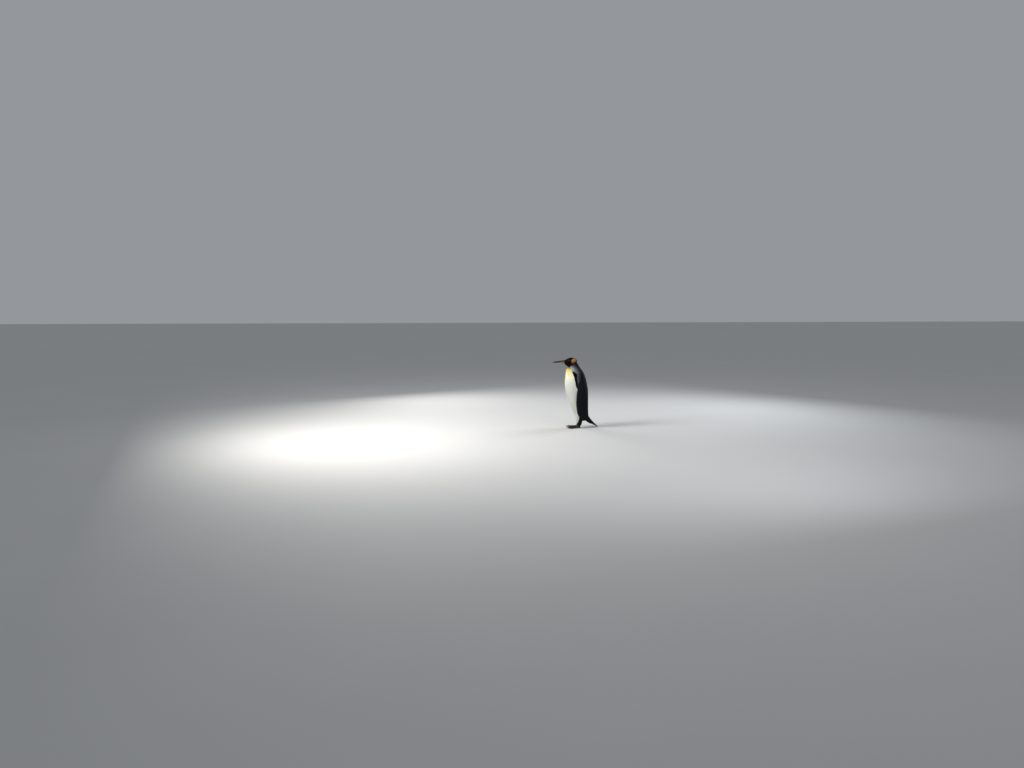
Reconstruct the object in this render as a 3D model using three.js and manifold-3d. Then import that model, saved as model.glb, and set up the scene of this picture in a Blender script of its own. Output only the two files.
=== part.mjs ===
// King penguin, adult: a still, life-size display model in closed solids, standing on both feet and its tail.
// Millimetres, +Z up. The bird faces -Y and its left side is +X. The origin is under the middle of its box.
//
// Every soft form is a loft between two outlines that run along it, such as breast and back, or crown and
// throat. A station of a loft is [point on one outline], [point on the other], half width across them.

import * as THREE from "three";
import { mergeVertices } from "three/addons/utils/BufferGeometryUtils.js";
import Module from "manifold-3d";

const wasm = await Module();
wasm.setup();

// ---------------------------------------------------------------- driving dimensions

const GAP = 0.35; // left between neighbouring solids
const FLOOR = 0; // the level that soles, claws and tail tip rest on
const OVERSHOOT = 3; // how far a form runs past the floor before it is cut flat

const NECK_CUT = { y: -70, z: 680, rise: 0.2 }; // under the chin, rising towards the nape
const TRUNK_CUT = { y: -50, z: 607, rise: 0.0 }; // where the neck leaves the shoulders

const EYE = { x: 19.3, y: -124, z: 744.5, radius: 8.6 };

const ANKLE = { x: 50, y: -12 };
const STEP = { left: -7, right: 9 }; // each leg's place along the bird, the left one ahead
const SWING = { left: 0, right: 10, from: 400, over: 266 }; // each flipper tip's place back, spread over this height
const TOES = [
  // turn outwards in degrees, length to the claw, half width
  { name: "inner", turn: -15, length: 101, half: 8 },
  { name: "middle", turn: 6, length: 125, half: 9 },
  { name: "outer", turn: 27, length: 110, half: 8.2 },
];
const HALLUX = { name: "hind", turn: -62, length: 27, half: 4.6 };
const CLAW = { length: 27, rooted: 8, half: 4, halfHigh: 4.2, arch: 2.2 };
const WEB_THICK = 5;

const TAIL_BLADES = {
  count: 9,
  spread: 13, // degrees from the middle feather to the outermost
  slope: THREE.MathUtils.degToRad(43),
  root: { y: 118, z: 85.4 },
  length: 131,
  half: 6.4,
  halfThick: 1.4,
};

const COLOUR = {
  black: 0x14100f,
  slate: 0x30353f,
  silver: 0x6c7480,
  white: 0xe9ebe6,
  horn: 0x191717,
  orange: 0xd9793f,
  scale: 0x1f1e20,
  iris: 0x2a1710,
};

// ---------------------------------------------------------------- outlines of the body

const at = (y, z) => [0, y, z];

// Neck and trunk, from inside the head down to the vent: breast outline, back outline, half width.
const TRUNK = [
  [at(-62, 714), at(-62, 714), 0],
  [at(-94, 706), at(-32, 712), 33],
  [at(-108, 687), at(-18, 694), 44],
  [at(-120, 671), at(-4, 671), 54],
  [at(-141, 656), at(10, 652), 64],
  [at(-153, 634), at(26, 631), 76],
  [at(-155, 600), at(45, 600), 91],
  [at(-161, 545), at(64, 545), 106],
  [at(-165, 484), at(79, 484), 113],
  [at(-160, 424), at(90, 424), 116],
  [at(-146, 363), at(93, 363), 114],
  [at(-126, 303), at(94, 303), 108],
  [at(-104, 242), at(95, 242), 98],
  [at(-77, 182), at(96, 182), 86],
  [at(-57, 138), at(101, 136), 75],
  [at(-45, 106), at(99, 102), 64],
  [at(-30, 82), at(80, 76), 46],
  [at(22, 69), at(22, 69), 0],
];

// Head, from the nape to the edge of the feathers on the bill: crown outline, throat outline, half width.
const HEAD = [
  [at(-33, 734), at(-33, 734), 0],
  [at(-37, 749), at(-35, 712), 18],
  [at(-47, 759), at(-41, 693), 26.5],
  [at(-63, 766.5), at(-57, 679), 31],
  [at(-83, 771), at(-82, 670), 33],
  [at(-104, 771.5), at(-106, 666), 32.5],
  [at(-123, 766.5), at(-128, 670), 29.5],
  [at(-140, 758.5), at(-150, 681), 24.5],
  [at(-155, 751.5), at(-164, 694), 19.2],
  [at(-168, 745.5), at(-172.5, 705.5), 14],
  [at(-175, 741.5), at(-176, 713.5), 9.3],
  [at(-177, 728), at(-177, 728), 0],
];

// Bill, both halves together: ridge outline, lower outline, half width.
const BILL = [
  [at(-146, 729), at(-146, 729), 0],
  [at(-150, 742), at(-150, 712), 8],
  [at(-168, 742.2), at(-168, 710.5), 8.4],
  [at(-188, 741), at(-188, 711.5), 7.8],
  [at(-212, 738.8), at(-212, 713.8), 6.7],
  [at(-240, 735.4), at(-240, 716), 5.6],
  [at(-267, 731.6), at(-267, 716.8), 4.6],
  [at(-286, 728), at(-286, 716.2), 3.7],
  [at(-299.5, 723.4), at(-299.5, 715.6), 2.4],
  [at(-307, 717.5), at(-307, 717.5), 0],
];
// The line where the two halves of the bill meet, from root to tip, as y and z.
const GAPE = [
  [-140, 727.5],
  [-175, 727.5],
  [-215, 726],
  [-255, 723.8],
  [-285, 721.2],
  [-300, 718.8],
  [-312, 715.5],
];

// Left flipper, from inside the shoulder to the tip: leading edge, trailing edge, half thickness.
const FLIPPER = [
  [[84, -8, 548], [84, -8, 548], 0],
  [[92, -36, 532], [92, 24, 537], 13],
  [[106, -45, 497], [107, 31, 500], 15],
  [[118, -50, 450], [118, 28, 450], 12],
  [[126.5, -59.5, 400], [126, 20, 402], 9.2],
  [[131, -67, 345], [130.5, 12, 350], 7.6],
  [[134, -69.5, 288], [133.5, 5, 296], 6.4],
  [[136, -66, 233], [135.5, 0, 245], 5.4],
  [[137, -59, 188], [136.5, -8, 202], 4.5],
  [[137, -49, 156], [136.5, -16, 168], 3.6],
  [[136.5, -39, 140], [136.5, -23, 146], 2.6],
  [[136.5, -30, 134], [136.5, -30, 134], 0],
];

// Left leg with its feathers, from inside the belly to the ankle: front outline, back outline, half width.
const LEG = [
  [[42, 2, 156], [42, 2, 156], 0],
  [[43, -50, 134], [43, 48, 136], 26],
  [[45, -49, 106], [45, 39, 104], 29],
  [[47, -44, 82], [47, 31, 78], 27],
  [[48, -38, 60], [48, 26, 56], 23],
  [[49, -33, 43], [49, 21, 39], 19],
  [[50, -28, 30], [50, 14, 27], 14],
  [[50, -9, 24], [50, -9, 24], 0],
];

// Rump and the feathers over the root of the tail, thinning to a wedge: upper outline, lower outline, half width.
const RUMP = [
  [at(44, 138), at(44, 138), 0],
  [at(88, 145), at(60, 76), 52],
  [at(112, 118), at(87, 56), 47],
  [at(134, 92), at(112, 38), 41],
  [at(153, 69), at(135, 24), 35],
  [at(170, 48), at(156, 14), 29],
  [at(184, 29), at(175, 7), 22],
  [at(191, 14), at(191, 14), 0],
];

// ---------------------------------------------------------------- making solids

// The closed solid of a three.js geometry.
function solidOf(geometry) {
  const bare = geometry.index ? geometry.toNonIndexed() : geometry.clone();
  bare.deleteAttribute("normal");
  bare.deleteAttribute("uv");
  const merged = mergeVertices(bare, 1e-3);
  const mesh = new wasm.Mesh({
    numProp: 3,
    vertProperties: merged.attributes.position.array,
    triVerts: new Uint32Array(merged.index.array),
  });
  return new wasm.Manifold(mesh);
}

const curveThrough = (points) => new THREE.CatmullRomCurve3(points, false, "catmullrom", 0.5);

const signedPower = (value, power) => Math.sign(value) * Math.abs(value) ** power;

// A sphere drawn out over the stations. fullness 2 gives elliptical sections and more gives squarer ones;
// widest moves the widest place from the middle towards the first outline; grow swells the whole form.
function loft(stations, { around, along, fullness = 2.15, widest = 0, grow = 0 }) {
  const firstLine = curveThrough(stations.map(([p]) => new THREE.Vector3(...p)));
  const secondLine = curveThrough(stations.map(([, q]) => new THREE.Vector3(...q)));
  const halfWidth = curveThrough(stations.map(([, , half]) => new THREE.Vector3(half, 0, 0)));
  const middle = (t) => firstLine.getPoint(t).lerp(secondLine.getPoint(t), 0.5);

  const geometry = new THREE.SphereGeometry(1, around, along);
  const { position, uv } = geometry.attributes;
  for (let i = 0; i < position.count; i++) {
    const t = THREE.MathUtils.clamp(1 - uv.getY(i), 0, 1);
    const angle = (Math.round(uv.getX(i) * around) / around) * 2 * Math.PI;
    const depth = firstLine.getPoint(t).sub(secondLine.getPoint(t)).multiplyScalar(0.5);
    const run = middle(Math.min(t + 1e-3, 1)).sub(middle(Math.max(t - 1e-3, 0)));
    const across = new THREE.Vector3().crossVectors(run, depth).normalize();
    const up = signedPower(Math.cos(angle), 2 / fullness);
    const out = signedPower(Math.sin(angle), 2 / fullness);
    const end = t < 1e-6 || t > 1 - 1e-6;
    const swell = end ? 0 : grow;
    const point = middle(t);
    if (end) {
      point.addScaledVector(run.normalize(), t < 0.5 ? -grow : grow);
    }
    point.addScaledVector(depth, up + widest * out * out);
    point.addScaledVector(depth.normalize(), swell * up);
    point.addScaledVector(across, (halfWidth.getPoint(t).x + swell) * out);
    position.setXYZ(i, point.x, point.y, point.z);
  }
  const solid = solidOf(geometry);
  return solid.volume() > 0 ? solid : turnedRound(geometry);
}

// The same geometry with its faces turned to point outwards.
function turnedRound(geometry) {
  const corners = geometry.index.array;
  for (let i = 0; i < corners.length; i += 3) {
    [corners[i + 1], corners[i + 2]] = [corners[i + 2], corners[i + 1]];
  }
  return solidOf(geometry);
}

// The part of a solid above, or below, a slanting cut across the bird; half a gap is taken off.
function partAbove(solid, cut) {
  const length = Math.hypot(1, cut.rise);
  const normal = [0, -cut.rise / length, 1 / length];
  return solid.trimByPlane(normal, normal[1] * cut.y + normal[2] * cut.z + GAP / 2);
}

function partBelow(solid, cut) {
  const length = Math.hypot(1, cut.rise);
  const normal = [0, cut.rise / length, -1 / length];
  return solid.trimByPlane(normal, normal[1] * cut.y + normal[2] * cut.z + GAP / 2);
}

const cutAtFloor = (solid) => solid.trimByPlane([0, 0, 1], FLOOR);

// ---------------------------------------------------------------- trunk, neck and head

const TRUNK_MESH = { around: 30, along: 32, fullness: 2.25, widest: -0.06 };
const HEAD_MESH = { around: 24, along: 17, fullness: 2.2, widest: 0.04 };
const BILL_MESH = { around: 12, along: 14, fullness: 2 };

const bill = loft(BILL, BILL_MESH);
const billSocket = loft(BILL, { ...BILL_MESH, grow: GAP });

function eyeBall(side, grow = 0) {
  const ball = new THREE.SphereGeometry(EYE.radius + grow, 12, 8);
  ball.translate(side * EYE.x, EYE.y, EYE.z);
  return solidOf(ball);
}

const torso = loft(TRUNK, TRUNK_MESH)
  .add(loft(HEAD, HEAD_MESH))
  .subtract(billSocket)
  .subtract(eyeBall(1, GAP))
  .subtract(eyeBall(-1, GAP));
const torsoSocket = loft(TRUNK, { ...TRUNK_MESH, grow: GAP });

const head = partAbove(torso, NECK_CUT);
const neck = partAbove(partBelow(torso, NECK_CUT), TRUNK_CUT);

// ---------------------------------------------------------------- bill

// A slab as wide as the bill, on one side of the gape.
function besideGape(lift, farZ) {
  const line = new THREE.SplineCurve(GAPE.map(([y, z]) => new THREE.Vector2(y, z + lift)));
  const points = line.getPoints(12);
  const shape = new THREE.Shape([
    ...points,
    new THREE.Vector2(GAPE.at(-1)[0], farZ),
    new THREE.Vector2(GAPE[0][0], farZ),
  ]);
  const slab = new THREE.ExtrudeGeometry(shape, { depth: 60, bevelEnabled: false, steps: 1 });
  // The shape's own x and y become y and z of the bird.
  slab.applyMatrix4(new THREE.Matrix4().set(0, 0, 1, -30, 1, 0, 0, 0, 0, 1, 0, 0, 0, 0, 0, 1));
  return solidOf(slab);
}

const billUpper = bill.subtract(besideGape(GAP / 2, 690));
const billLower = bill.subtract(besideGape(-GAP / 2, 770));

// ---------------------------------------------------------------- feet

// Each foot is made about its own ankle, a place in plan. The forward way of a toe turns outwards from it.
const anklePlace = (step) => new THREE.Vector3(ANKLE.x, ANKLE.y + step, 0);

function onToe(ankle, turn, far, z) {
  const angle = THREE.MathUtils.degToRad(turn);
  const way = new THREE.Vector3(Math.sin(angle), -Math.cos(angle), 0);
  return ankle.clone().addScaledVector(way, far).setZ(z);
}

// A loft along a toe: each stage is [distance, top, bottom, half width].
function alongToe(ankle, turn, stages, mesh) {
  const station = ([far, top, bottom, half]) => [
    onToe(ankle, turn, far, top).toArray(),
    onToe(ankle, turn, far, bottom).toArray(),
    half,
  ];
  return loft(stages.map(station), mesh);
}

const SOLE = FLOOR - OVERSHOOT;

// A toe with two swollen joints and a pad at its end.
function toeForm(ankle, { turn, length, half }, grow) {
  const stages = [
    [2, 10, 10, 0],
    [8, 22, SOLE, half * 1.25],
    [length * 0.26, 15.5, SOLE, half * 1.05],
    [length * 0.42, 12.5, SOLE, half * 0.92],
    [length * 0.57, 13, SOLE, half * 1.05],
    [length * 0.74, 11, SOLE, half * 0.92],
    [length * 0.9, 11.5, SOLE, half],
    [length * 0.985, 8.5, SOLE + 2, half * 0.7],
    [length, 4, 4, 0],
  ];
  return alongToe(ankle, turn, stages, { around: 8, along: 8, fullness: 2.4, grow });
}

// The web between two toes: a thin plate with a hollow front edge.
function webForm(ankle, one, other, grow) {
  const [a, b] = [one, other].map((toe) => onToe(ankle, toe.turn, toe.length * 0.86, 0));
  const dip = onToe(ankle, (one.turn + other.turn) / 2, Math.min(one.length, other.length) * 0.7, 0);
  const shape = new THREE.Shape();
  shape.moveTo(ankle.x, ankle.y);
  shape.lineTo(a.x, a.y);
  shape.quadraticCurveTo(dip.x, dip.y, b.x, b.y);
  shape.closePath();
  const depth = WEB_THICK + OVERSHOOT + grow;
  const plate = new THREE.ExtrudeGeometry(shape, { depth, bevelEnabled: false, curveSegments: 5 });
  plate.translate(0, 0, SOLE);
  return solidOf(plate);
}

function heelForm(ankle, grow) {
  const station = (back, top, bottom, half) => [
    [ankle.x, ankle.y + back, top], [ankle.x, ankle.y + back, bottom], half,
  ];
  const stations = [
    station(-23, 16, 16, 0),
    station(-16, 26, SOLE, 12.5),
    station(-3, 34, SOLE, 14.5),
    station(9, 31, SOLE, 12.5),
    station(18, 22, 3, 8),
    station(22, 12, 12, 0),
  ];
  return loft(stations, { around: 12, along: 7, grow });
}

// The small hind toe, low on the inner side.
function halluxForm(ankle, grow) {
  const { turn, length, half } = HALLUX;
  const stages = [
    [length * 0.3, 10, 10, 0],
    [length * 0.45, 14.5, 5, half],
    [length * 0.75, 13, 4.5, half * 0.9],
    [length * 0.93, 11, 5, half * 0.6],
    [length, 8, 8, 0],
  ];
  return alongToe(ankle, turn, stages, { around: 6, along: 5, grow });
}

function footForm(ankle, grow = 0) {
  const [inner, middle, outer] = TOES;
  const pieces = [
    ...TOES.map((toe) => toeForm(ankle, toe, grow)),
    webForm(ankle, inner, middle, grow),
    webForm(ankle, middle, outer, grow),
    halluxForm(ankle, grow),
  ];
  return pieces.reduce((foot, piece) => foot.add(piece), heelForm(ankle, grow));
}

// A curved claw that starts inside its toe's end and comes down towards the floor.
function clawForm(ankle, { turn, length, size, rootZ, tipZ }, grow = 0) {
  const reach = CLAW.length * size;
  const from = length - CLAW.rooted * size;
  const middleOf = (share) => rootZ + (tipZ - rootZ) * share ** 1.8 + CLAW.arch * size * Math.sin(Math.PI * share);
  const stage = (share, fill) => {
    const middle = middleOf(share);
    const halfHigh = CLAW.halfHigh * size * fill;
    const bottom = Math.max(middle - halfHigh, FLOOR + 0.25);
    return [from + reach * share, middle + halfHigh, bottom, CLAW.half * size * fill];
  };
  const stages = [
    [from, rootZ, rootZ, 0],
    stage(0.08, 0.8), stage(0.35, 1), stage(0.65, 0.72), stage(0.9, 0.34),
    [from + reach, tipZ, tipZ, 0],
  ];
  return alongToe(ankle, turn, stages, { around: 6, along: 6, fullness: 2, grow });
}

const CLAWED = [
  ...TOES.map((toe) => ({ ...toe, size: 1, rootZ: 5.4, tipZ: 1 })),
  { ...HALLUX, size: 0.5, rootZ: 8.5, tipZ: 5 },
];

function foot(step) {
  const ankle = anklePlace(step);
  const whole = cutAtFloor(footForm(ankle));
  return CLAWED.reduce((rest, toe) => rest.subtract(clawForm(ankle, toe, GAP)), whole);
}

// ---------------------------------------------------------------- legs, flippers and tail

function leg(step) {
  const stepped = LEG.map(([front, back, half]) => [
    [front[0], front[1] + step, front[2]], [back[0], back[1] + step, back[2]], half,
  ]);
  return loft(stepped, { around: 16, along: 9 })
    .subtract(torsoSocket)
    .subtract(footForm(anklePlace(step), GAP));
}

// A flipper swings from its shoulder; its tip lies that far behind the tip in the table.
function flipper(swing) {
  const hung = ([x, y, z]) => [x, y + swing * THREE.MathUtils.clamp((SWING.from - z) / SWING.over, 0, 1), z];
  const swung = FLIPPER.map(([front, back, half]) => [hung(front), hung(back), half]);
  return loft(swung, { around: 12, along: 17, fullness: 1.9, widest: 0.12 }).subtract(torsoSocket);
}

// One stiff tail feather, from under the rump's feathers to its tip; fan is its place, from -1 to 1.
function tailBlade(fan) {
  const angle = THREE.MathUtils.degToRad(fan * TAIL_BLADES.spread);
  const { root, slope, half, halfThick } = TAIL_BLADES;
  const length = TAIL_BLADES.length * (1 - 0.24 * Math.abs(fan) ** 1.6);
  const start = new THREE.Vector3(fan * 17, root.y, root.z - 6 * fan * fan);
  const run = new THREE.Vector3(Math.sin(angle), Math.cos(slope) * Math.cos(angle), -Math.sin(slope));
  const station = (share, fill) => {
    const middle = start.clone().addScaledVector(run, length * share);
    const above = middle.clone().setZ(middle.z + halfThick * Math.min(1, fill * 9));
    const below = middle.clone().setZ(middle.z - halfThick * Math.min(1, fill * 9));
    return [above.toArray(), below.toArray(), half * fill];
  };
  const stations = [station(0, 0), station(0.06, 0.8), station(0.5, 1), station(0.9, 0.72), station(1, 0)];
  return loft(stations, { around: 6, along: 5, fullness: 2 });
}

let tail = loft(RUMP, { around: 18, along: 8 });
for (let i = 0; i < TAIL_BLADES.count; i++) {
  tail = tail.add(tailBlade((2 * i) / (TAIL_BLADES.count - 1) - 1));
}
tail = cutAtFloor(tail.subtract(torsoSocket));

const trunk = partBelow(torso, TRUNK_CUT);

// ---------------------------------------------------------------- the bird

const penguin = new THREE.Group();

function finish(colour, roughness, metalness = 0) {
  return new THREE.MeshStandardMaterial({ color: colour, roughness, metalness });
}

const FINISH = {
  hood: finish(COLOUR.black, 0.6),
  back: finish(COLOUR.slate, 0.55),
  nape: finish(COLOUR.silver, 0.55),
  breast: finish(COLOUR.white, 0.7),
  horn: finish(COLOUR.horn, 0.3),
  plate: finish(COLOUR.orange, 0.3),
  scale: finish(COLOUR.scale, 0.55),
  eye: finish(COLOUR.iris, 0.05),
};

// side is 1 for the left and for what lies in the middle, and -1 for a right-hand twin.
function addPart(name, solid, material, side = 1) {
  const { numProp, vertProperties, triVerts } = solid.getMesh();
  const position = new Float32Array((vertProperties.length / numProp) * 3);
  for (let i = 0; i < position.length / 3; i++) {
    const [x, y, z] = vertProperties.subarray(i * numProp, i * numProp + 3);
    position.set([side * x, y, z], i * 3);
  }
  const corners = side > 0 ? triVerts : triVerts.toReversed();
  const geometry = new THREE.BufferGeometry();
  geometry.setAttribute("position", new THREE.BufferAttribute(position, 3));
  geometry.setIndex(new THREE.BufferAttribute(corners, 1));
  geometry.computeVertexNormals();
  const mesh = new THREE.Mesh(geometry, material);
  mesh.name = name;
  penguin.add(mesh);
}

addPart("head", head, FINISH.hood);
addPart("neck", neck, FINISH.nape);
addPart("trunk", trunk, FINISH.breast);
addPart("tail", tail, FINISH.back);
addPart("bill_upper", billUpper, FINISH.horn);
addPart("bill_lower", billLower, FINISH.plate);
for (const [name, side] of [["left", 1], ["right", -1]]) {
  const step = STEP[name];
  addPart(`eye_${name}`, eyeBall(side), FINISH.eye);
  addPart(`flipper_${name}`, flipper(SWING[name]), FINISH.back, side);
  addPart(`leg_${name}`, leg(step), FINISH.breast, side);
  addPart(`foot_${name}`, foot(step), FINISH.scale, side);
  for (const toe of CLAWED) {
    addPart(`claw_${toe.name}_${name}`, clawForm(anklePlace(step), toe), FINISH.horn, side);
  }
}

// The origin is under the middle of the bird's box, on the floor.
const box = new THREE.Box3().setFromObject(penguin);
penguin.position.set(-(box.min.x + box.max.x) / 2, -(box.min.y + box.max.y) / 2, -box.min.z);

export default penguin;
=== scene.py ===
"""King penguin, adult: a still, life-size display model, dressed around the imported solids. Metres, +Z up.

The bird faces -Y and its left side is +X. It stands on both feet and the tip of its tail.
"""

import math
from contextlib import contextmanager

import bpy
import numpy as np
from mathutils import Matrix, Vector, bvhtree, kdtree


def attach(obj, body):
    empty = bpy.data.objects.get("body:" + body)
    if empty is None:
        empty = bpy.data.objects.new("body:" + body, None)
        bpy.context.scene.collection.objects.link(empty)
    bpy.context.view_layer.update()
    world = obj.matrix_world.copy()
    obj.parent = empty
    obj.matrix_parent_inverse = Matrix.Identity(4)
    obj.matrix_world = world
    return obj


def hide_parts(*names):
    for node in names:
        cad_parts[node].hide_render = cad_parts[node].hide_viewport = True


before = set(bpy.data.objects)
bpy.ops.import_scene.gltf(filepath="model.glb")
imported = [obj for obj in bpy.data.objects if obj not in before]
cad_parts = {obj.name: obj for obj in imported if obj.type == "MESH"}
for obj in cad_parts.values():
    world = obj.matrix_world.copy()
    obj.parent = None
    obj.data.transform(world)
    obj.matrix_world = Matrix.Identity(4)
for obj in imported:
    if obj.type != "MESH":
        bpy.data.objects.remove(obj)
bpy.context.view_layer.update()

# ------------------------ camera, floor and light
# The bird is seen from far off through a wide lens, from its left side and a little ahead of it, at 1.3 m. It
# stands on a plain pale floor, in the soft light of a large box ahead of it and of weaker ones round it.

LENS = 27.04
SENSOR_WIDTH = 36
CAMERA_PLACE = (8.209, -1.895, 1.31)
CAMERA_TURN = (84.356, 0.0, 81.73)
BIRD_MIDDLE = (0, 0, 0.4)
FLOOR_SIZE = 120

bpy.ops.object.select_all(action="DESELECT")
bpy.ops.object.camera_add(location=CAMERA_PLACE, rotation=[math.radians(angle) for angle in CAMERA_TURN])
camera = bpy.context.object
camera.data.lens = LENS
camera.data.sensor_width = SENSOR_WIDTH
bpy.context.scene.camera = camera
bpy.context.scene.view_settings.view_transform = "Standard"


class Channel:
    """One shader value. Sums and products of channels add the Math nodes that work them out."""

    def __init__(self, finish, socket):
        self.finish = finish
        self.socket = socket

    def __add__(self, other):
        return self.finish.maths("ADD", self, other)

    def __radd__(self, other):
        return self.finish.maths("ADD", other, self)

    def __sub__(self, other):
        return self.finish.maths("SUBTRACT", self, other)

    def __rsub__(self, other):
        return self.finish.maths("SUBTRACT", other, self)

    def __mul__(self, other):
        return self.finish.maths("MULTIPLY", self, other)

    def __rmul__(self, other):
        return self.finish.maths("MULTIPLY", other, self)

    def within(self, low, high, start=0.0, end=1.0):
        """Goes smoothly from start to end as the channel goes from low to high."""
        sockets = {"Value": self, "From Min": low, "From Max": high, "To Min": start, "To Max": end}
        return self.finish.add("ShaderNodeMapRange", {"interpolation_type": "SMOOTHSTEP"}, sockets)


class Finish:
    """A material, and the nodes it is mixed from."""

    def __init__(self, name, **uniform):
        self.material = bpy.data.materials.new(name)
        self.material.use_nodes = True
        self.tree = self.material.node_tree
        self.shader = self.tree.nodes["Principled BSDF"]
        for socket, value in uniform.items():
            self.shader.inputs[socket.replace("_", " ")].default_value = value

    def add(self, kind, settings=None, sockets=None, out=0):
        """Adds a node: its settings first, then the values or channels of its sockets."""
        node = self.tree.nodes.new(kind)
        for name, value in (settings or {}).items():
            if name == "stops":
                self.set_stops(node.color_ramp, value)
            else:
                setattr(node, name, value)
        for name, value in (sockets or {}).items():
            self.feed(node.inputs[name], value)
        return Channel(self, node.outputs[out])

    def set_stops(self, ramp, stops):
        while len(ramp.elements) < len(stops):
            ramp.elements.new(0.5)
        for element, (place, colour) in zip(ramp.elements, stops):
            element.position = place
            element.color = (*colour, 1)

    def feed(self, socket, value):
        if isinstance(value, Channel):
            self.tree.links.new(value.socket, socket)
        elif socket.type == "RGBA":
            socket.default_value = (*value, 1)
        else:
            socket.default_value = value

    def maths(self, operation, *values):
        return self.add("ShaderNodeMath", {"operation": operation}, dict(enumerate(values)))

    def place(self):
        return self.add("ShaderNodeTexCoord", out="Object")

    def attribute(self, name):
        return self.add("ShaderNodeAttribute", {"attribute_name": name}, out="Fac")

    def noise(self, scale, detail=3.0, roughness=0.5, place=None):
        place = place or self.place()
        sockets = {"Vector": place, "Scale": scale, "Detail": detail, "Roughness": roughness}
        return self.add("ShaderNodeTexNoise", sockets=sockets)

    def blend(self, share, first, second):
        """The first colour where share is 0, and the second where it is 1."""
        return self.add("ShaderNodeMix", {"data_type": "RGBA"}, {0: share, 6: first, 7: second}, out=2)

    def shade(self, colour, level):
        """A colour made lighter or darker all over by a level of about 1."""
        return self.add("ShaderNodeVectorMath", {"operation": "SCALE"}, {0: colour, "Scale": level})

    def relief(self, height, strength, distance):
        sockets = {"Height": height, "Strength": strength, "Distance": distance}
        return self.add("ShaderNodeBump", sockets=sockets)

    def show(self, **sockets):
        for name, value in sockets.items():
            self.feed(self.shader.inputs[name.replace("_", " ")], value)
        return self.material


def only(*objects):
    """Selects these objects alone and makes the last one active."""
    bpy.ops.object.select_all(action="DESELECT")
    for obj in objects:
        obj.select_set(True)
        bpy.context.view_layer.objects.active = obj


only()
bpy.ops.mesh.primitive_plane_add(size=FLOOR_SIZE)
floor = bpy.context.object
floor.name = "floor"
paving = Finish("pale_floor", Roughness=0.8)
floor.data.materials.append(
    paving.show(Base_Color=paving.blend(paving.noise(0.9), (0.60, 0.60, 0.59), (0.64, 0.64, 0.63)))
)

world = bpy.data.worlds.new("studio")
bpy.context.scene.world = world
world.use_nodes = True
sky = world.node_tree.nodes["Background"].inputs
sky["Color"].default_value = (0.78, 0.82, 0.88, 1)
sky["Strength"].default_value = 0.38


def light_box(name, place, size, power, colour):
    """A large soft lamp that shines on the middle of the bird."""
    only()
    bpy.ops.object.light_add(type="AREA", location=place)
    lamp = bpy.context.object
    lamp.name = name
    lamp.data.shape = "DISK"
    lamp.data.size = size
    lamp.data.energy = power
    lamp.data.color = colour
    lamp.rotation_euler = (Vector(BIRD_MIDDLE) - Vector(place)).to_track_quat("-Z", "Y").to_euler()
    lamp.visible_camera = False


light_box("light_ahead", (0.8, -3.1, 2.3), 1.6, 124, (1.0, 0.97, 0.93))
light_box("light_beside", (3.4, 1.0, 1.8), 2.2, 16, (0.93, 0.96, 1.0))
light_box("light_behind", (-1.5, 2.9, 2.4), 2.0, 55, (0.92, 0.96, 1.0))
light_box("light_far_side", (-3.0, -1.6, 1.8), 2.0, 42, (1.0, 0.98, 0.96))

# ------------------------ skin
# One closed hide over the whole bird: feathered skin on the body, and bare black skin on the feet and round
# each eye. It is modelled from the solid forms, run together, and lies inside them by the coat's depth.

SIDES = {"left": 1, "right": -1}
HIDE_GRAIN = 0.0018
SWELL = 0.0005  # closes the thin cuts between the forms
CLAW_FIT = 0.0009  # how much smaller than its claw each socket's plug is
# The rump, from inside the back to the middle of the tail: its upper and its lower outline, as places along
# the bird and heights, and half its width.
RUMP = [
    (0.092, 0.138, 0.092, 0.138, 0.000),
    (0.135, 0.145, 0.108, 0.078, 0.052),
    (0.158, 0.118, 0.135, 0.058, 0.047),
    (0.177, 0.093, 0.158, 0.044, 0.041),
    (0.192, 0.073, 0.177, 0.037, 0.035),
    (0.204, 0.058, 0.193, 0.034, 0.029),
    (0.210, 0.045, 0.210, 0.045, 0.000),
]
BILL_EDGE = {"plane_co": (0, -0.1285, 0.73), "plane_no": (0, -1, 0)}
LIMBS = {part: [f"{part}_{side}" for side in SIDES] for part in ("leg", "foot", "flipper")}
FLESH = ["head", "neck", "trunk", *LIMBS["leg"], *LIMBS["foot"], *LIMBS["flipper"]]
TOES = ("inner", "middle", "outer", "hind")


@contextmanager
def edit_mode(obj, select=True):
    """Edit mode on one object, with all of it selected at first unless told not to."""
    only(obj)
    bpy.ops.object.mode_set(mode="EDIT")
    if select:
        bpy.ops.mesh.select_all(action="SELECT")
    yield
    bpy.ops.object.mode_set(mode="OBJECT")


def cast_of(node, swell=0.0):
    """A loose copy of a CAD node, with its triangles merged, swollen by a little or shrunk."""
    cast = bpy.data.objects.new("cast_" + node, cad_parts[node].data.copy())
    cast.data.materials.clear()
    bpy.context.collection.objects.link(cast)
    with edit_mode(cast):
        bpy.ops.mesh.remove_doubles(threshold=1e-5)
        if swell:
            bpy.ops.transform.shrink_fatten(value=swell)
    return cast


def finish_with(obj, kind, **settings):
    """Adds a modifier with its settings and applies it."""
    modifier = obj.modifiers.new(kind.lower(), kind)
    for name, value in settings.items():
        setattr(modifier, name, value)
    only(obj)
    bpy.ops.object.modifier_apply(modifier=modifier.name)


def rows_of(items, name, width, kind=np.int32):
    """What all of a mesh's points, edges or triangles say under a name, one row for each."""
    flat = np.empty(len(items) * width, kind)
    items.foreach_get(name, flat)
    return flat.reshape(-1, width)


def points_of(obj):
    return rows_of(obj.data.vertices, "co", 3, float)


def normals_of(obj):
    return rows_of(obj.data.vertices, "normal", 3, float)


def set_points(obj, points):
    obj.data.vertices.foreach_set("co", points.ravel())
    obj.data.update()


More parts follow.
